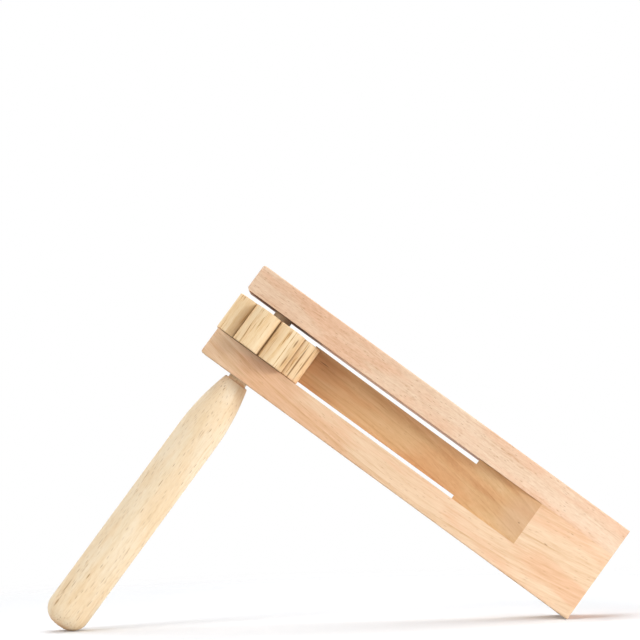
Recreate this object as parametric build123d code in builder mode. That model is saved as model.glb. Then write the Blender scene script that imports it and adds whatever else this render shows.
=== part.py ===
from build123d import *
from math import asin, cos, degrees, radians, sin, sqrt, tan
import os

# Wooden ratchet rattle: a slotted frame that swings round a toothed cog on a handle.
# Row frame: +Z runs up the handle and the axle, +X runs along the frame from the axle to the
# closed end, and +Y goes through the frame from its front face to its back face. The origin is
# on the axle's axis, halfway up the straight part of the handle.

os.makedirs("parts", exist_ok=True)

# --- driving dimensions, in millimetres and degrees ---

# handle, turned
handle_radius = 10.0
handle_length = 134.0
shoulder_length = 30.0  # from the top face down to where the handle is straight
shoulder_arc_radius = 110.0
handle_top_round = 0.8
butt_round = 8.0

# axle, a plain dowel glued into the handle and the cog
axle_radius = 4.5
axle_in_handle = 32.0
axle_recess = 0.6  # the dowel's top end stops this far under the upper rail's top
axle_chamfer = 0.5
axle_clearance = 0.08  # radial, in the two rails

# frame
frame_length = 200.0
frame_depth = 26.0
open_end_to_axle = 20.2
lower_rail_height = 13.1
slot_height = 21.6
upper_rail_height = 13.1
neck_gap = 1.6  # between the handle's top and the lower rail
through_slot_length = 128.3  # from the open end to the end block
block_edge_lean = 1.8  # the end block's edge in the slot is sawn this much out of square
reed_seat_length = 33.4  # from the end block's edge to the closed end of the slot
long_edge_round = 0.6
open_end_round = 1.1
inner_corner_cut = 0.9

# cog, eight rounded beads round a core, with a sharp valley between each pair
bead_count = 8
bead_radius = 6.95
bead_centre_radius = 16.2
cog_height = 18.5
cog_lift = 0.2  # above the lower rail
cog_edge = 0.3
cog_turn = 4.0  # degrees; the valley at the front lies this far round towards the reed

# reed
reed_seat_slope = 9.0  # degrees
reed_thickness = 2.6
tongue_root_width = 17.1  # at the end block
tongue_tip_width = 17.9
tongue_lift = 1.8  # above the lower rail, all along
reed_tip_x = 19.4
reed_tip_y = 1.4  # in the middle of the valley at this turn of the cog
tip_bevel_length = 3.2
tip_edge_thickness = 0.9
root_clearance = 0.05  # at each rail

# --- derived places ---

handle_bottom = -(butt_round + (handle_length - butt_round - shoulder_length) / 2)
handle_top = handle_bottom + handle_length
frame_bottom = handle_top + neck_gap
slot_bottom = frame_bottom + lower_rail_height
slot_top = slot_bottom + slot_height
frame_top = slot_top + upper_rail_height
open_end_x = -open_end_to_axle
closed_end_x = open_end_x + frame_length
block_x = open_end_x + through_slot_length
slot_end_x = block_x + reed_seat_length
front_y = -frame_depth / 2

# the reed's front face starts flush with the frame's front face at the slot's closed end and
# slopes in over its seat; from there the tongue is held in a bow by the cog, with the middle
# of its tip in a valley
reed_slope = radians(reed_seat_slope)
root_length = reed_seat_length / cos(reed_slope)
reed_plane = Plane(
    origin=(slot_end_x, front_y, 0),
    x_dir=(-cos(reed_slope), sin(reed_slope), 0),
    z_dir=(0, 0, 1),
)
reed_run = slot_end_x - reed_tip_x
reed_rise = reed_tip_y - front_y
tip_along = reed_run * cos(reed_slope) + reed_rise * sin(reed_slope) - root_length
tip_lift = reed_run * sin(reed_slope) - reed_rise * cos(reed_slope) + reed_thickness / 2
bow_radius = (tip_along**2 + tip_lift**2) / (2 * tip_lift)
bow_angle = asin(tip_along / bow_radius)
bow_centre = bow_radius - reed_thickness / 2


# a point in the reed's plane, at a depth under its front face and an angle from the root
def on_bow(depth, angle):
    radius = bow_centre + depth
    return (root_length + radius * sin(angle), bow_centre - radius * cos(angle))


# --- handle ---

shoulder_end = handle_top - handle_top_round
shoulder_drop = shoulder_end - (handle_top - shoulder_length)
shoulder_radius = handle_radius - (
    shoulder_arc_radius - sqrt(shoulder_arc_radius**2 - shoulder_drop**2)
)

with BuildPart() as handle:
    with BuildSketch(Plane.XZ) as handle_profile:
        with BuildLine():
            butt_flat = Line((0, handle_bottom), (handle_radius - butt_round, handle_bottom))
            butt_arc = RadiusArc(
                butt_flat @ 1,
                (handle_radius, handle_bottom + butt_round),
                -butt_round,
            )
            straight = Line(butt_arc @ 1, (handle_radius, handle_top - shoulder_length))
            shoulder = TangentArc(
                straight @ 1,
                (shoulder_radius, shoulder_end),
                tangent=(0, 1),
            )
            top_arc = RadiusArc(
                shoulder @ 1,
                (shoulder_radius - handle_top_round, handle_top),
                -handle_top_round,
            )
            top_flat = Line(top_arc @ 1, (0, handle_top))
            axis_line = Line(top_flat @ 1, butt_flat @ 0)
        make_face()
    revolve(axis=Axis.Z)
    with BuildSketch(Plane.XY.offset(handle_top)):
        Circle(axle_radius)
    extrude(amount=-axle_in_handle, mode=Mode.SUBTRACT)
handle.part.label = "handle"

# --- axle ---

axle_bottom = handle_top - axle_in_handle
axle_top = frame_top - axle_recess

with BuildPart() as axle:
    with BuildSketch(Plane.XY.offset(axle_bottom)):
        Circle(axle_radius)
    extrude(amount=axle_top - axle_bottom)
    chamfer(axle.edges().filter_by(GeomType.CIRCLE), length=axle_chamfer)
axle.part.label = "axle"

# --- cog wheel ---

bead_step = 360 / bead_count
cog_bottom = slot_bottom + cog_lift

with BuildPart() as cog_wheel:
    with BuildSketch(Plane.XY.offset(cog_bottom)):
        Circle(bead_centre_radius)
        with PolarLocations(bead_centre_radius, bead_count, bead_step / 2 + cog_turn):
            Circle(bead_radius)
    extrude(amount=cog_height)
    rims = cog_wheel.faces().filter_by(Axis.Z).edges()
    chamfer(rims, length=cog_edge)
    with BuildSketch(Plane.XY.offset(cog_bottom)):
        Circle(axle_radius)
    extrude(amount=cog_height, mode=Mode.SUBTRACT)
cog_wheel.part.label = "cog_wheel"

# --- frame base: the lower rail and the end block, cut from one board ---

along_x = (closed_end_x + open_end_x) / 2
seat_back = -reed_thickness
seat_overrun = reed_thickness  # past the block's edge, into the open slot

with BuildPart() as frame_base:
    with BuildSketch(Plane.XY.offset(frame_bottom)):
        with Locations((along_x, 0)):
            Rectangle(frame_length, frame_depth)
    extrude(amount=lower_rail_height)
    with BuildSketch(Plane.XY.offset(slot_bottom)):
        with BuildLine():
            Polyline(
                (block_x, front_y),
                (closed_end_x, front_y),
                (closed_end_x, frame_depth / 2),
                (block_x + block_edge_lean, frame_depth / 2),
                close=True,
            )
        make_face()
    extrude(amount=slot_height)

    # the sloping seat for the reed's root
    with BuildSketch(reed_plane.offset(slot_bottom)):
        with BuildLine():
            Polyline(
                (0, 0),
                (0, seat_back),
                (root_length + seat_overrun, seat_back),
                (root_length + seat_overrun, frame_depth / 2),
                (0, frame_depth / 2),
                close=True,
            )
        make_face()
    extrude(amount=slot_height, mode=Mode.SUBTRACT)

    with BuildSketch(Plane.XY.offset(frame_bottom)):
        Circle(axle_radius + axle_clearance)
    extrude(amount=lower_rail_height, mode=Mode.SUBTRACT)

    open_end_edges = frame_base.faces().sort_by(Axis.X)[0].edges()
    fillet(open_end_edges.filter_by(Axis.Y).sort_by(Axis.Z)[0], radius=open_end_round)
    lowest_edges = frame_base.faces().sort_by(Axis.Z)[0].edges()
    fillet(lowest_edges.filter_by(Axis.X), radius=long_edge_round)
frame_base.part.label = "frame_base"

# --- upper rail, glued along the end block ---

with BuildPart() as upper_rail:
    with BuildSketch(Plane.XY.offset(slot_top)):
        with Locations((along_x, 0)):
            Rectangle(frame_length, frame_depth)
        Circle(axle_radius + axle_clearance, mode=Mode.SUBTRACT)
    extrude(amount=upper_rail_height)

    # the inner corner is cut straight: a rounded one would carry the long edges' rounding
    # on to the lower edges, which stay sharp along the glue line
    open_end_edges = upper_rail.faces().sort_by(Axis.X)[0].edges().filter_by(Axis.Y)
    chamfer(open_end_edges.sort_by(Axis.Z)[0], length=inner_corner_cut)
    fillet(open_end_edges.sort_by(Axis.Z)[-1], radius=open_end_round)
    top_edges = upper_rail.faces().sort_by(Axis.Z)[-1].edges()
    fillet(top_edges.filter_by(Axis.X), radius=long_edge_round)
upper_rail.part.label = "upper_rail"

# --- reed: a wide root on the seat, and a narrow springy tongue to the cog ---

tongue_bottom = slot_bottom + tongue_lift
root_bottom = slot_bottom + root_clearance
bevel_angle = bow_angle - tip_bevel_length / bow_radius
bevel_depth = (reed_thickness - tip_edge_thickness) / 2

with BuildPart() as reed:
    with BuildSketch(reed_plane.offset(tongue_bottom)):
        with BuildLine():
            front = Line((0, 0), (root_length, 0))
            front_bow = ThreePointArc(
                front @ 1,
                on_bow(0, bevel_angle / 2),
                on_bow(0, bevel_angle),
            )
            tip = Polyline(
                front_bow @ 1,
                on_bow(bevel_depth, bow_angle),
                on_bow(reed_thickness - bevel_depth, bow_angle),
                on_bow(reed_thickness, bevel_angle),
            )
            back_bow = ThreePointArc(
                tip @ 1,
                on_bow(reed_thickness, bevel_angle / 2),
                (root_length, -reed_thickness),
            )
            Polyline(back_bow @ 1, (0, -reed_thickness), front @ 0)
        make_face()
    extrude(amount=tongue_tip_width)

    # the tongue's upper edge falls a little from the tip to the end block
    with BuildSketch(Plane.XZ):
        with BuildLine():
            Polyline(
                (reed_tip_x, tongue_bottom + tongue_tip_width),
                (block_x, tongue_bottom + tongue_root_width),
                (closed_end_x, tongue_bottom + tongue_root_width),
                (closed_end_x, slot_top),
                (reed_tip_x, slot_top),
                close=True,
            )
        make_face()
    extrude(amount=frame_depth, both=True, mode=Mode.SUBTRACT)
    with BuildSketch(reed_plane.offset(root_bottom)):
        with Locations((root_length / 2, -reed_thickness / 2)):
            Rectangle(root_length, reed_thickness)
    extrude(amount=slot_height - 2 * root_clearance)
reed.part.label = "reed"

# --- export ---

export_step(handle.part, "parts/handle.step")
export_step(axle.part, "parts/axle.step")
export_step(cog_wheel.part, "parts/cog_wheel.step")
export_step(frame_base.part, "parts/frame_base.step")
export_step(upper_rail.part, "parts/upper_rail.step")
export_step(reed.part, "parts/reed.step")

valley_radius = bead_centre_radius * cos(radians(bead_step / 2)) + sqrt(
    bead_radius**2 - (bead_centre_radius * sin(radians(bead_step / 2))) ** 2
)
print("handle from", handle_bottom, "to", handle_top)
print("frame from z", frame_bottom, "to", frame_top, "slot", slot_bottom, "to", slot_top)
print("frame from x", open_end_x, "to", closed_end_x, "block from", block_x)
print("cog tip radius", bead_centre_radius + bead_radius, "valley radius", valley_radius)
print("reed slope", reed_seat_slope, "bow radius", bow_radius, "turning", degrees(bow_angle))
print("reed front face at the block, y", front_y + reed_seat_length * tan(reed_slope))
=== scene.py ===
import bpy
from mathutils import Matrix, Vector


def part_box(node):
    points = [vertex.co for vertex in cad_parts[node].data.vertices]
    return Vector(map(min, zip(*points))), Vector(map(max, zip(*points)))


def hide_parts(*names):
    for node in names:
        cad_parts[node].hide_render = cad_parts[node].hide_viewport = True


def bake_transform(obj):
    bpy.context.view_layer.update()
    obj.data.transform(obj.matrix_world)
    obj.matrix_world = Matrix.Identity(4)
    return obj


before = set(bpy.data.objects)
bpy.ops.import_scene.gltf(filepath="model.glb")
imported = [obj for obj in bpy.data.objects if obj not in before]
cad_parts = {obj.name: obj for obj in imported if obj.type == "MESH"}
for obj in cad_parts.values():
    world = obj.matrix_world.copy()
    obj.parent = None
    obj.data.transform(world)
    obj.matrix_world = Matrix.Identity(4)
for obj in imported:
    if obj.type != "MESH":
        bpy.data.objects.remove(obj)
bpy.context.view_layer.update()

from math import asin, atan2, cos, radians, sin

import bmesh
import bpy
from mathutils import Matrix, Vector

mm = 0.001
scene = bpy.context.scene


def linearColor(hexCode):
    parts = [int(hexCode[i:i + 2], 16) / 255 for i in (1, 3, 5)]
    parts = [p / 12.92 if p <= 0.04045 else ((p + 0.055) / 1.055) ** 2.4 for p in parts]
    return (*parts, 1.0)


def addNode(tree, kind, inputs=None, **settings):
    # inputs holds plain values, or nodes and sockets to link, by the input's name or number;
    # a MapRange takes its value, from low, from high, to low and to high as 0 to 4
    node = tree.nodes.new("ShaderNode" + kind)
    for key, value in settings.items():
        setattr(node, key, value)
    for key, value in (inputs or {}).items():
        if isinstance(value, bpy.types.Node):
            value = value.outputs[0]
        if isinstance(value, bpy.types.NodeSocket):
            tree.links.new(value, node.inputs[key])
        else:
            node.inputs[key].default_value = value
    return node


# What all the woods share; the noises run from 0 to 1.
grainShape = {
    "ringNoise": (0.45, 1.8),  # how often the rings' widths change, and by how many rings
    "ringSpots": (0.0, 0.4, 0.88, 1.0),  # where on a ring the four levels of ringShape lie
    "weakestRing": 0.25,
    "threadEdge": (0.56, 0.72),
    "patchEdge": (0.4, 0.62),
    "dashEdge": (0.5, 1.3),  # of half a dash's width
    "fullDashes": 0.3,  # this much of the dashes shown have their full strength
    "markEdge": (0.35, 1.0),  # of half a mark's size
    "markRagged": 0.6,
    "markDepth": 0.3,
    "endFacing": (0.6, 0.95),
    "glossFibres": (0.3, 0.7),
    "glossSpread": 0.07,
}

soft = {"interpolation_type": "SMOOTHSTEP"}  # no hard edge at either end of a MapRange


# Noise drawn out along the grain.
def grainNoise(tree, vector, across, length, detail, roughness=0.5):
    drawnOut = addNode(tree, "VectorMath", {
        0: vector, 1: (1 / across, 1 / across, 1 / length),
    }, operation="MULTIPLY")
    return addNode(tree, "TexNoise", {
        "Vector": drawnOut, "Scale": 1, "Detail": detail, "Roughness": roughness,
    })


# The grain of a board runs in a slow curve, and its fibres wander a little off it.
def curveGrain(tree, wood, laid, along):
    middle, curve = wood["bow"]
    fromMiddle = addNode(tree, "Math", {0: along, 1: middle}, operation="SUBTRACT")
    bent = addNode(tree, "Math", {0: fromMiddle, 1: fromMiddle}, operation="MULTIPLY")
    bent = addNode(tree, "Math", {0: bent, 1: curve}, operation="MULTIPLY")
    bent = addNode(tree, "CombineXYZ", {"X": bent})
    across, length, wander = wood["wander"]
    drifting = grainNoise(tree, laid, across, length, 2).outputs["Color"]
    shift = addNode(tree, "VectorMath", {
        0: drifting, 1: (wander, wander, 0), 2: (-wander / 2, -wander / 2, 0),
    }, operation="MULTIPLY_ADD")
    grain = addNode(tree, "VectorMath", {0: laid, 1: bent}, operation="ADD")
    grain = addNode(tree, "VectorMath", {0: grain, 1: shift}, operation="ADD")
    return drifting, grain


# Growth rings round the pith, each darkest at its outer edge and of its own strength.
def addRings(tree, wood, grain):
    fromPith = addNode(tree, "VectorMath", {
        0: grain, 1: (1, 1, 0), 2: (*wood["pith"], 0),
    }, operation="MULTIPLY_ADD")
    radius = addNode(tree, "VectorMath", {0: fromPith}, operation="LENGTH").outputs["Value"]
    rings = addNode(tree, "Math", {0: radius, 1: wood["ringWidth"]}, operation="DIVIDE")
    often, spread = grainShape["ringNoise"]
    uneven = addNode(tree, "TexNoise", {
        "W": rings, "Scale": often, "Detail": 1,
    }, noise_dimensions="1D")
    rings = addNode(tree, "Math", {0: uneven, 1: spread, 2: rings}, operation="MULTIPLY_ADD")
    ringPhase = addNode(tree, "Math", {0: rings}, operation="FRACT")
    lateWood = addNode(tree, "ValToRGB", {"Fac": ringPhase})
    ramp = lateWood.color_ramp
    ramp.interpolation = "EASE"
    for spot, level in zip(grainShape["ringSpots"], wood["ringShape"]):
        element = ramp.elements[-1 if spot else 0] if spot in (0, 1) else ramp.elements.new(spot)
        element.color = (level, level, level, 1)
    ringNumber = addNode(tree, "Math", {0: rings}, operation="FLOOR")
    ringRandom = addNode(tree, "TexWhiteNoise", {
        "W": ringNumber,
    }, noise_dimensions="1D").outputs["Value"]
    ringStrength = addNode(tree, "MapRange", {
        0: ringRandom, 1: 0, 2: 1, 3: grainShape["weakestRing"], 4: 1,
    }, **soft)
    lateWood = addNode(tree, "Math", {0: lateWood, 1: ringStrength}, operation="MULTIPLY")
    return ringPhase, lateWood


# One number runs from pale to dark through the tones; each layer moves it to both sides
# of the layer's own middle.
def colorBoard(tree, wood, laid, along, grain, lateWood):
    fibres = grainNoise(tree, grain, *wood["fibre"], 4, 0.62)
    streaks = grainNoise(tree, grain, *wood["streak"], 2)
    patches = grainNoise(tree, laid, *wood["patch"], 2)
    threads = grainNoise(tree, grain, *wood["thread"], 2)
    low, high = grainShape["threadEdge"]
    threads = addNode(tree, "MapRange", {0: threads, 1: low, 2: high, 3: 0, 4: 1}, **soft)

    darkness = addNode(tree, "MapRange", {0: along, **dict(enumerate(wood["drift"], 1))}, **soft)
    for layer, share, middleLevel in (
        (lateWood, wood["ringShare"], 0.35),
        (fibres, wood["fibreShare"], 0.5),
        (streaks, wood["streakShare"], 0.5),
        (threads, wood["threadShare"], 0.1),
    ):
        layer = addNode(tree, "Math", {0: layer, 1: middleLevel}, operation="SUBTRACT")
        darkness = addNode(tree, "Math", {
            0: layer, 1: share, 2: darkness,
        }, operation="MULTIPLY_ADD")
    tones = addNode(tree, "ValToRGB", {"Fac": darkness})
    ramp = tones.color_ramp
    for i, hexCode in enumerate(wood["tones"]):
        element = ramp.elements[i] if i < 2 else ramp.elements.new(1.0)
        element.position = i / (len(wood["tones"]) - 1)
        element.color = linearColor(hexCode)
    low, high = grainShape["patchEdge"]
    patchy = addNode(tree, "MapRange", {
        0: patches, 1: low, 2: high, 3: 0, 4: wood["patchShare"],
    }, **soft)
    color = addNode(tree, "Mix", {
        "Factor": patchy, 6: tones, 7: linearColor(wood["patchColor"]),
    }, data_type="RGBA", blend_type="MULTIPLY").outputs[2]
    return fibres, color


# Short dark dashes along the grain: pores or ray flecks.
def addDashes(tree, wood, grain, ringPhase, color, height):
    for dash in wood["dashes"]:
        dashPlace = addNode(tree, "VectorMath", {
            0: grain, 1: (1 / dash["apart"], 1 / dash["apart"], 1 / dash["period"]),
        }, operation="MULTIPLY")
        cells = addNode(tree, "TexVoronoi", {"Vector": dashPlace, "Scale": 1})
        low, high = (edge * dash["width"] / 2 / dash["apart"] for edge in grainShape["dashEdge"])
        shown = addNode(tree, "MapRange", {0: cells, 1: low, 2: high, 3: 1, 4: 0}, **soft)
        pick = addNode(tree, "SeparateColor", {0: cells.outputs["Color"]})
        faintest, full = 1 - dash["share"], 1 - dash["share"] * grainShape["fullDashes"]
        kept = addNode(tree, "MapRange", {0: pick, 1: faintest, 2: full, 3: 0, 4: 1}, **soft)
        shown = addNode(tree, "Math", {0: shown, 1: kept}, operation="MULTIPLY")
        shown = addNode(tree, "Math", {
            0: shown, 1: dash["strength"],
        }, operation="MULTIPLY", use_clamp=True)
        if "inRing" in dash:  # ring-porous wood keeps most pores at the start of a ring
            inRing = addNode(tree, "MapRange", {
                0: ringPhase, 1: 0, 2: dash["inRing"], 3: 1, 4: dash["rest"],
            }, **soft)
            shown = addNode(tree, "Math", {0: shown, 1: inRing}, operation="MULTIPLY")
        color = addNode(tree, "Mix", {
            "Factor": shown, 6: color, 7: linearColor(dash["color"]),
        }, data_type="RGBA").outputs[2]
        height = addNode(tree, "Math", {
            0: shown, 1: -dash["depth"], 2: height,
        }, operation="MULTIPLY_ADD")
    return color, height


# Single marks, each at its own place.
def addMarks(tree, wood, place, drifting, color, height):
    low, high = grainShape["markEdge"]
    rag = grainShape["markRagged"]
    for mark in wood["marks"]:
        spot = addNode(tree, "VectorMath", {
            0: place, 1: tuple(c * mm for c in mark["at"]),
        }, operation="SUBTRACT")
        spot = addNode(tree, "VectorMath", {
            0: spot, 1: tuple(1 / mm / c for c in mark["size"]),
        }, operation="MULTIPLY")
        sideways = addNode(tree, "SeparateXYZ", {0: spot}).outputs["X"]
        lifted = addNode(tree, "Math", {0: sideways, 1: sideways}, operation="MULTIPLY")
        lifted = addNode(tree, "Math", {0: lifted, 1: mark["bow"]}, operation="MULTIPLY")
        lifted = addNode(tree, "CombineXYZ", {"Z": lifted})
        ragged = addNode(tree, "VectorMath", {
            0: drifting, 1: (rag,) * 3, 2: (-rag / 2,) * 3,
        }, operation="MULTIPLY_ADD")
        spot = addNode(tree, "VectorMath", {0: spot, 1: lifted}, operation="ADD")
        spot = addNode(tree, "VectorMath", {0: spot, 1: ragged}, operation="ADD")
        far = addNode(tree, "VectorMath", {0: spot}, operation="LENGTH").outputs["Value"]
        shown = addNode(tree, "MapRange", {
            0: far, 1: low, 2: high, 3: mark["strength"], 4: 0,
        }, **soft)
        color = addNode(tree, "Mix", {
            "Factor": shown, 6: color, 7: linearColor(mark["color"]),
        }, data_type="RGBA").outputs[2]
        height = addNode(tree, "Math", {
            0: shown, 1: -grainShape["markDepth"], 2: height,
        }, operation="MULTIPLY_ADD")
    return color, height


# Painted shade in a piece's valleys: everything nearer its own axis than its valleys' edges is
# darkened.
def paintCreaseShade(tree, wood, place, color):
    flat = addNode(tree, "VectorMath", {0: place, 1: (1, 1, 0)}, operation="MULTIPLY")
    fromAxis = addNode(tree, "VectorMath", {0: flat}, operation="LENGTH").outputs["Value"]
    deep, edge, amount = wood["creaseShade"]
    shown = addNode(tree, "MapRange", {
        0: fromAxis, 1: deep * mm, 2: edge * mm, 3: amount, 4: 0,
    }, **soft)
    return addNode(tree, "Mix", {
        "Factor": shown, 6: color, 7: linearColor(wood["creaseShadeColor"]),
    }, data_type="RGBA").outputs[2]


# End grain takes more light in, so it is darker and redder than the sides.
def darkenEnds(tree, wood, normal, color):
    laidNormal = addNode(tree, "Mapping", {
        "Vector": normal, "Rotation": wood["turn"],
    }, vector_type="NORMAL")
    facing = addNode(tree, "SeparateXYZ", {0: laidNormal}).outputs["Z"]
    facing = addNode(tree, "Math", {0: facing}, operation="ABSOLUTE")
    low, high = grainShape["endFacing"]
    endGrain = addNode(tree, "MapRange", {
        0: facing, 1: low, 2: high, 3: 0, 4: wood["endShare"],
    }, **soft)
    return addNode(tree, "Mix", {
        "Factor": endGrain, 6: color, 7: linearColor(wood["endColor"]),
    }, data_type="RGBA", blend_type="MULTIPLY").outputs[2]


# Each wood is one solid pattern in millimetres with the grain along its own Z, so the sides
# show streaks and the ends show rings and pores, as on a piece cut out of a real board.
def makeWood(name, wood, placeName=None):
    material = bpy.data.materials.new(name)
    material.use_nodes = True
    tree = material.node_tree
    tree.nodes.clear()

    source = addNode(tree, "TexCoord")
    place = source.outputs["Object"]
    if placeName:  # a piece that bends keeps the grain of its straight shape
        place = addNode(tree, "Attribute", attribute_name=placeName).outputs["Vector"]
    laid = addNode(tree, "Mapping", {
        "Vector": place, "Scale": (1 / mm,) * 3, "Rotation": wood["turn"],
    })
    along = addNode(tree, "SeparateXYZ", {0: laid}).outputs["Z"]

    drifting, grain = curveGrain(tree, wood, laid, along)
    ringPhase, lateWood = addRings(tree, wood, grain)
    fibres, color = colorBoard(tree, wood, laid, along, grain, lateWood)
    color, height = addDashes(tree, wood, grain, ringPhase, color, fibres)
    color, height = addMarks(tree, wood, place, drifting, color, height)
    # painted shade in the cog's valleys
    if "creaseShade" in wood:
        color = paintCreaseShade(tree, wood, place, color)
    color = darkenEnds(tree, wood, source.outputs["Normal"], color)

    bump = addNode(tree, "Bump", {
        "Height": height, "Strength": 1.0, "Distance": wood["relief"] * mm,
    })
    low, high = grainShape["glossFibres"]
    rough, spread = wood["roughness"], grainShape["glossSpread"]
    roughness = addNode(tree, "MapRange", {
        0: fibres, 1: low, 2: high, 3: rough - spread, 4: rough + spread,
    }, **soft)
    shader = addNode(tree, "BsdfPrincipled", {
        "Base Color": color, "Normal": bump, "IOR": 1.5, "Specular IOR Level": 0.3,
        "Roughness": roughness,
    })
    addNode(tree, "OutputMaterial", {"Surface": shader})
    return material


alongFrame = (0, radians(-90), 0)  # lays a pattern's grain along the frame

# Beech, planed and sanded, bare. Pinkish tan and even, with close straight grain and the
# short brown ray flecks that tell beech from any other pale wood.
railBeech = {
    "turn": alongFrame, "bow": (60.0, 0.0), "wander": (16.0, 60.0, 2.2),
    "pith": (95.0, 60.0), "ringWidth": 2.3, "ringShape": (0.0, 0.15, 0.9, 0.35),
    "fibre": (0.55, 3.0), "thread": (0.7, 22.0), "streak": (1.7, 34.0), "patch": (9.0, 40.0),
    "drift": (-20.0, 170.0, 0.52, 0.4),
    "ringShare": 0.14, "fibreShare": 1.3, "threadShare": 0.25, "streakShare": 0.5,
    "tones": ["#F0D8BF", "#EACCAF", "#DEBB9B", "#C99C77"],
    "patchShare": 0.5, "patchColor": "#F9DCCB",
    "dashes": [
        {"apart": 0.8, "period": 3.4, "width": 0.34, "share": 0.8, "strength": 0.6,
         "color": "#B5835A", "depth": 0.3},
        {"apart": 2.8, "period": 16.0, "width": 0.34, "share": 0.6, "strength": 0.5,
         "color": "#A87550", "depth": 0.4},
    ],
    "marks": [],
    "endShare": 0.85, "endColor": "#DFB894",
    "roughness": 0.55, "relief": 0.06,
}

# Beech from another board. Its grain falls away at the open end and rises along the end
# block, in soft broad stripes.
baseBeech = {
    **railBeech,
    "bow": (82.0, 0.001), "pith": (-40.0, -85.0), "ringWidth": 3.1,
    "ringShape": (0.0, 0.25, 0.9, 0.3), "ringShare": 0.3, "threadShare": 0.12, "streak": (2.4, 46.0),
    "fibre": (0.5, 7.0), "fibreShare": 0.85,
    "dashes": [
        {"apart": 0.9, "period": 5.0, "width": 0.32, "share": 0.7, "strength": 0.42,
         "color": "#B5835A", "depth": 0.3},
        {"apart": 2.8, "period": 16.0, "width": 0.3, "share": 0.6, "strength": 0.25,
         "color": "#A87550", "depth": 0.4},
    ],
    "tones": ["#F2D8BB", "#EBCBA9", "#DDB78F", "#C3946A"],
    "marks": [
        {"at": (153.2, -13, 100.7), "size": (1.3, 1.0, 0.35), "bow": 0.0,
         "strength": 0.6, "color": "#9C6A45"},
        {"at": (159.9, -13, 111.3), "size": (1.0, 1.0, 0.3), "bow": 0.0,
         "strength": 0.5, "color": "#9C6A45"},
    ],
}

# Beech sawn thin and sanded. Browner than the frame, with a dark thread near its tip.
reedBeech = {
    **railBeech,
    "bow": (20.0, -0.0011), "pith": (-30.0, 55.0), "ringWidth": 2.6, "ringShare": 0.3,
    "fibre": (0.5, 9.0), "fibreShare": 0.6, "threadShare": 0.1,
    "dashes": baseBeech["dashes"],
    "drift": (20.0, 130.0, 0.41, 0.45),
    "tones": ["#E2C196", "#D9B283", "#CB9F6F", "#AA794A"],
    "marks": [
        {"at": (27.0, -2.0, 107.9), "size": (4.2, 3.0, 0.4), "bow": 0.35,
         "strength": 0.85, "color": "#6B3F22"},
        {"at": (138.0, -12.0, 104.0), "size": (14.0, 9.0, 14.0), "bow": 0.0,
         "strength": 0.4, "color": "#D2AB8C"},
        {"at": (138.0, -12.6, 101.5), "size": (0.7, 1.0, 0.4), "bow": 0.0,
         "strength": 0.6, "color": "#8C5F3C"},
    ],
}

# Ash, turned and sanded, bare. Cream, with thin brown pore dashes in rows along the grip.
handleAsh = {
    "turn": (0, 0, 0), "bow": (0.0, 0.0), "wander": (8.0, 50.0, 1.6),
    "pith": (24.0, 30.0), "ringWidth": 2.8, "ringShape": (0.1, 0.1, 0.8, 0.9),
    "fibre": (0.42, 2.8), "thread": (0.7, 16.0), "streak": (1.5, 30.0), "patch": (7.0, 30.0),
    "drift": (-60.0, 80.0, 0.4, 0.3),
    "ringShare": 0.25, "fibreShare": 0.9, "threadShare": 0.25, "streakShare": 0.35,
    "tones": ["#F6E5CB", "#F0DBBA", "#E6CCA4", "#D2B081"],
    "patchShare": 0.4, "patchColor": "#F8E8D0",
    "dashes": [
        {"apart": 0.6, "period": 3.6, "width": 0.4, "share": 0.8, "strength": 0.75,
         "color": "#A87D4A", "depth": 0.5, "inRing": 0.5, "rest": 0.2},
        {"apart": 1.2, "period": 11.0, "width": 0.42, "share": 0.6, "strength": 0.7,
         "color": "#AD8049", "depth": 0.5, "inRing": 0.8, "rest": 0.3},
    ],
    "marks": [
        {"at": (-6.7, -7.5, -39), "size": (0.45, 1.2, 5.5), "bow": 0.0,
         "strength": 0.55, "color": "#A87D4A"},
        {"at": (-6.2, -7.8, -47), "size": (0.6, 1.2, 2.5), "bow": 0.0,
         "strength": 0.65, "color": "#A5763F"},
        {"at": (-1.6, -9.9, -30), "size": (0.4, 1.0, 2.0), "bow": 0.0,
         "strength": 0.65, "color": "#A5763F"},
    ],
    "endShare": 0.7, "endColor": "#E0BC94",
    "roughness": 0.5, "relief": 0.06,
}
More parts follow.
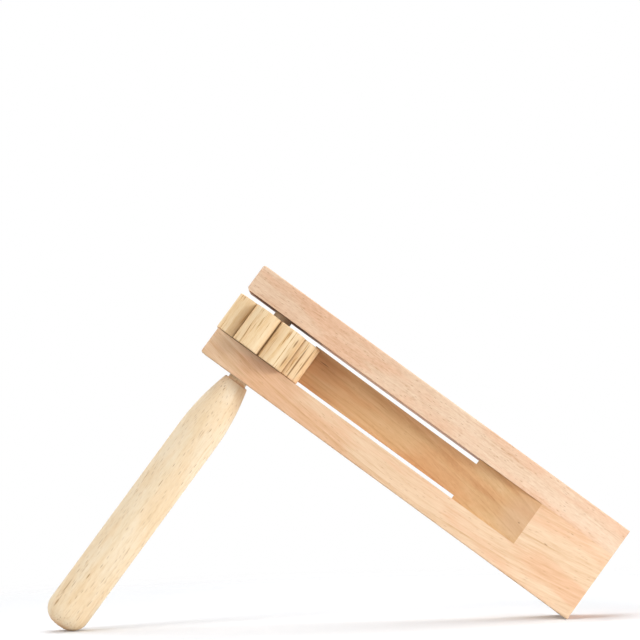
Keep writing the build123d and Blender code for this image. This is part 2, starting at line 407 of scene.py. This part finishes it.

# Ash moulded into beads along the grain and cut to length. Cream, with brown open pores
# that run on as long threads, and painted shade in its valleys and on the flanks beside them.
cogAsh = {
    **handleAsh,
    "pith": (-19.0, 26.0), "ringWidth": 4.6, "ringShare": 0.5, "wander": (7.0, 24.0, 1.8),
    "tones": ["#F4DCB6", "#EDCEA1", "#DDB785", "#B88A58"],
    "fibreShare": 0.9, "threadShare": 0.9, "streakShare": 0.5,
    "dashes": [
        {"apart": 1.1, "period": 8.0, "width": 0.4, "share": 0.45, "strength": 0.6,
         "color": "#A5763F", "depth": 0.6, "inRing": 0.4, "rest": 0.08},
    ],
    # painted shade in the valleys between the beads: radius where it is full, radius where it ends,
    # strength
    "creaseShade": (18.2, 19.5, 0.78), "creaseShadeColor": "#8A5C2C",
    "marks": [
        # painted shade on the left bead beside its valley, over a darker patch of the wood
        {"at": (-14.6, -14.0, 101), "size": (2.6, 3.0, 14), "bow": 0.0,
         "strength": 0.3, "color": "#B98A52"},
        # dark streaks along the left valley: painted crease shade
        {"at": (-11.8, -14.2, 103), "size": (0.9, 1.8, 6), "bow": 0.0,
         "strength": 0.75, "color": "#8A5A28"},
        {"at": (-12.0, -14.2, 96), "size": (0.7, 1.8, 3), "bow": 0.0,
         "strength": 0.8, "color": "#7A4C20"},
        # painted shade on the flanks beside the middle and right valleys
        {"at": (3.6, -19.0, 102), "size": (2.8, 6.0, 15), "bow": 0.0,
         "strength": 0.25, "color": "#C29A63"},
        {"at": (12.4, -16.5, 102), "size": (4.4, 7.0, 15), "bow": 0.0,
         "strength": 0.4, "color": "#C29A63"},
        # dark streaks along the right valley: painted crease shade
        {"at": (12.2, -19.3, 107), "size": (0.5, 1.3, 3), "bow": 0.0,
         "strength": 0.8, "color": "#8A5A28"},
        {"at": (12.5, -19.1, 98), "size": (0.5, 1.3, 4.5), "bow": 0.0,
         "strength": 0.75, "color": "#8A5A28"},
        {"at": (17.2, -11.8, 101), "size": (0.5, 1.2, 12), "bow": 0.0,
         "strength": 0.85, "color": "#8A5A28"},
        {"at": (20.1, -10.2, 102), "size": (0.5, 1.2, 12), "bow": 0.0,
         "strength": 0.8, "color": "#96642F"},
    ],
}

# Birch dowel, drawn through a die. Pale brown, painted paler towards its top: painted light on the
# stretch above the cog, which lies in the rail's shade.
dowelBirch = {
    **handleAsh,
    # paler upwards: painted light on the dowel above the cog
    "pith": (-9.0, 4.0), "ringWidth": 2.5, "drift": (60.0, 130.0, 0.25, 0.05),
    "tones": ["#FBE6C2", "#F3D8AE", "#E6C597", "#CBA273"], "marks": [],
}

woods = {
    "upper_rail": makeWood("beechPlanedRail", railBeech),
    "frame_base": makeWood("beechPlanedBase", baseBeech),
    "reed": makeWood("beechSawnReed", reedBeech, "straightPlace"),
    "handle": makeWood("ashTurnedHandle", handleAsh),
    "cog_wheel": makeWood("ashMouldedCog", cogAsh),
    "axle": makeWood("birchDrawnDowel", dowelBirch),
}
for nodeName, material in woods.items():
    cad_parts[nodeName].data.materials.clear()
    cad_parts[nodeName].data.materials.append(material)
print("woods made")


# The tongue bends from the end block towards its tip, so it is cut into short lengths.
# The cuts run from the tip's mark to just past the root.
reed = {"cutEvery": 2.0, "root": (108.1, -6.4, 103.5), "loose": (37.0, 0.8, 103.5), "tip": 20.0}

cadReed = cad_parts["reed"]
mesh = cadReed.data.copy()
mesh.name = "reed"
mesh.transform(cadReed.matrix_world)
shape = bmesh.new()
shape.from_mesh(mesh)
x = reed["tip"]
while x < reed["root"][0] + 1:
    bmesh.ops.bisect_plane(
        shape, geom=shape.verts[:] + shape.edges[:] + shape.faces[:],
        plane_co=(x * mm, 0, 0), plane_no=(1, 0, 0),
    )
    x += reed["cutEvery"]
shape.to_mesh(mesh)
shape.free()
straight = mesh.attributes.new("straightPlace", "FLOAT_VECTOR", "POINT")
straight.data.foreach_set("vector", [c for v in mesh.vertices for c in v.co])
mesh.materials.clear()
mesh.materials.append(woods["reed"])
mesh.set_sharp_from_angle(angle=radians(20))

bendingReed = bpy.data.objects.new("bendingReed", mesh)
scene.collection.objects.link(bendingReed)
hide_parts("reed")
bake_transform(bendingReed)
print("reed made")


camera = {
    "place": (51.7, -913.0, 75.0),  # in front of the middle of the frame
    "aim": (14.32, -13.0, 122.12),
    "roll": 36.165,
    "lens": 114.26,
}

lens = bpy.data.cameras.new("camera")
lens.lens = camera["lens"]
lens.sensor_width = 36
lens.clip_start = 0.05
lens.clip_end = 20
eye = bpy.data.objects.new("camera", lens)
scene.collection.objects.link(eye)
eye.location = Vector(camera["place"]) * mm
look = (Vector(camera["aim"]) * mm - eye.location).normalized()
roll = radians(camera["roll"])
sideways = look.cross(Vector((-sin(roll), 0, cos(roll)))).normalized()
upward = sideways.cross(look)
eye.rotation_euler = Matrix((sideways, upward, -look)).transposed().to_euler()
scene.camera = eye
print("camera set")


# The rattle stands on the rounded edge of its butt and on the frame's lower corner.
floor = {
    # the greyer paper near the butt is painted shade that deepens the butt's shadow
    "buttRound": 8.0, "size": 3000.0, "shade": "#F2F4F7", "buttShadowGrey": "#EAEBEE", "glow": 0.1,
    "middle": (90, 0, 15), "fade": (150.0, 420.0), "buttShadowSpan": (10.0, 110.0),
}

handleLow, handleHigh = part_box("handle")
baseLow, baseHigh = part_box("frame_base")
buttRound = floor["buttRound"] * mm
buttCentre = Vector(((handleHigh.x - handleLow.x) / 2 - buttRound, 0, handleLow.z + buttRound))
corner = Vector((baseHigh.x, 0, baseLow.z))
span = corner - buttCentre
slope = atan2(span.z, span.x) + asin(buttRound / span.length)
floorAlong = Vector((cos(slope), 0, sin(slope)))

half = floor["size"] / 2 * mm
mesh = bpy.data.meshes.new("floor")
mesh.from_pydata(
    [corner + floorAlong * a * half + Vector((0, b * half, 0))
     for a, b in ((-1, -1), (1, -1), (1, 1), (-1, 1))],
    [], [(0, 1, 2, 3)],
)
paperFloor = bpy.data.objects.new("floor", mesh)
scene.collection.objects.link(paperFloor)


def whereSeen(tree):
    # 1 where the camera looks, straight or in a gloss, and 0 where light only passes
    rays = addNode(tree, "LightPath").outputs
    seen = addNode(tree, "Math", {
        0: rays["Is Camera Ray"], 1: rays["Is Glossy Ray"],
    }, operation="MAXIMUM")
    return addNode(tree, "Math", {0: seen, 1: rays["Is Transmission Ray"]}, operation="MAXIMUM")


# White paper. To the camera it is a little brighter than its light makes it, so it runs
# into the white world with no edge; its shade under the rattle stays. It is painted greyer
# towards the butt, where more light falls, so the shadow there shows darker and wider: painted
# shade.
floorPaper = bpy.data.materials.new("whitePaperSweep")
floorPaper.use_nodes = True
tree = floorPaper.node_tree
tree.nodes.clear()
place = addNode(tree, "TexCoord").outputs["Object"]
# painted shade: the paper greys towards the butt
buttShadowFade = addNode(tree, "MapRange", {
    0: addNode(tree, "SeparateXYZ", {0: place}), 1: floor["buttShadowSpan"][0] * mm,
    2: floor["buttShadowSpan"][1] * mm,
}, **soft)
shade = addNode(tree, "Mix", {
    "Factor": buttShadowFade, 6: linearColor(floor["buttShadowGrey"]), 7: linearColor(floor["shade"]),
}, data_type="RGBA").outputs[2]
paper = addNode(tree, "BsdfDiffuse", {"Color": shade})
glowLevel = addNode(tree, "Math", {0: whereSeen(tree), 1: floor["glow"]}, operation="MULTIPLY")
glow = addNode(tree, "Emission", {"Color": (1, 1, 1, 1), "Strength": glowLevel})
lit = addNode(tree, "AddShader", {0: paper, 1: glow})
below = addNode(tree, "NewGeometry").outputs["Backfacing"]
away = addNode(tree, "VectorMath", {
    0: place, 1: tuple(c * mm for c in floor["middle"]),
}, operation="DISTANCE").outputs["Value"]
gone = addNode(tree, "MapRange", {
    0: away, 1: floor["fade"][0] * mm, 2: floor["fade"][1] * mm,
}, **soft)
gone = addNode(tree, "Math", {0: gone, 1: below}, operation="MAXIMUM")
clear = addNode(tree, "BsdfTransparent")
fading = addNode(tree, "MixShader", {0: gone, 1: lit, 2: clear})
addNode(tree, "OutputMaterial", {"Surface": fading})
mesh.materials.append(floorPaper)

lamps = {
    # side length, place and aim in mm, and watts
    "rightSoftbox": (450, (815, -463, 764), (80, 0, 90), 5.4),
    "frontSoftbox": (450, (625, -763, 700), (80, 0, 90), 4.2),
    "leftSoftbox": (450, (-842, -583, 233), (80, 0, 90), 5.2),
    "backSoftbox": (800, (-472, 220, 770), (60, 0, 60), 6.6),
}
for name, (side, place, aim, watts) in lamps.items():
    light = bpy.data.lights.new(name, "AREA")
    light.shape = "SQUARE"
    light.size = side * mm
    light.energy = watts
    lamp = bpy.data.objects.new(name, light)
    scene.collection.objects.link(lamp)
    lamp.location = Vector(place) * mm
    lamp.rotation_euler = (Vector(aim) - Vector(place)).to_track_quat("-Z", "Y").to_euler()

# The room is white to the camera and lights the rattle softly, more from above than below.
studio = {"brightSide": (0.0, -0.3, 0.95), "fill": (0.15, 0.25)}

world = bpy.data.worlds.new("studio")
scene.world = world
world.use_nodes = True
tree = world.node_tree
tree.nodes.clear()
side = addNode(tree, "VectorMath", {
    0: addNode(tree, "TexCoord").outputs["Generated"], 1: studio["brightSide"],
}, operation="DOT_PRODUCT").outputs["Value"]
fill = addNode(tree, "MapRange", {
    0: side, 1: -1.0, 2: 1.0, 3: studio["fill"][0], 4: studio["fill"][1],
})
strength = addNode(tree, "Math", {0: whereSeen(tree), 1: fill}, operation="MAXIMUM")
sky = addNode(tree, "Background", {"Color": (1, 1, 1, 1), "Strength": strength})
addNode(tree, "OutputWorld", {"Surface": sky})

scene.view_settings.view_transform = "Standard"
print("floor, lamps and world set")
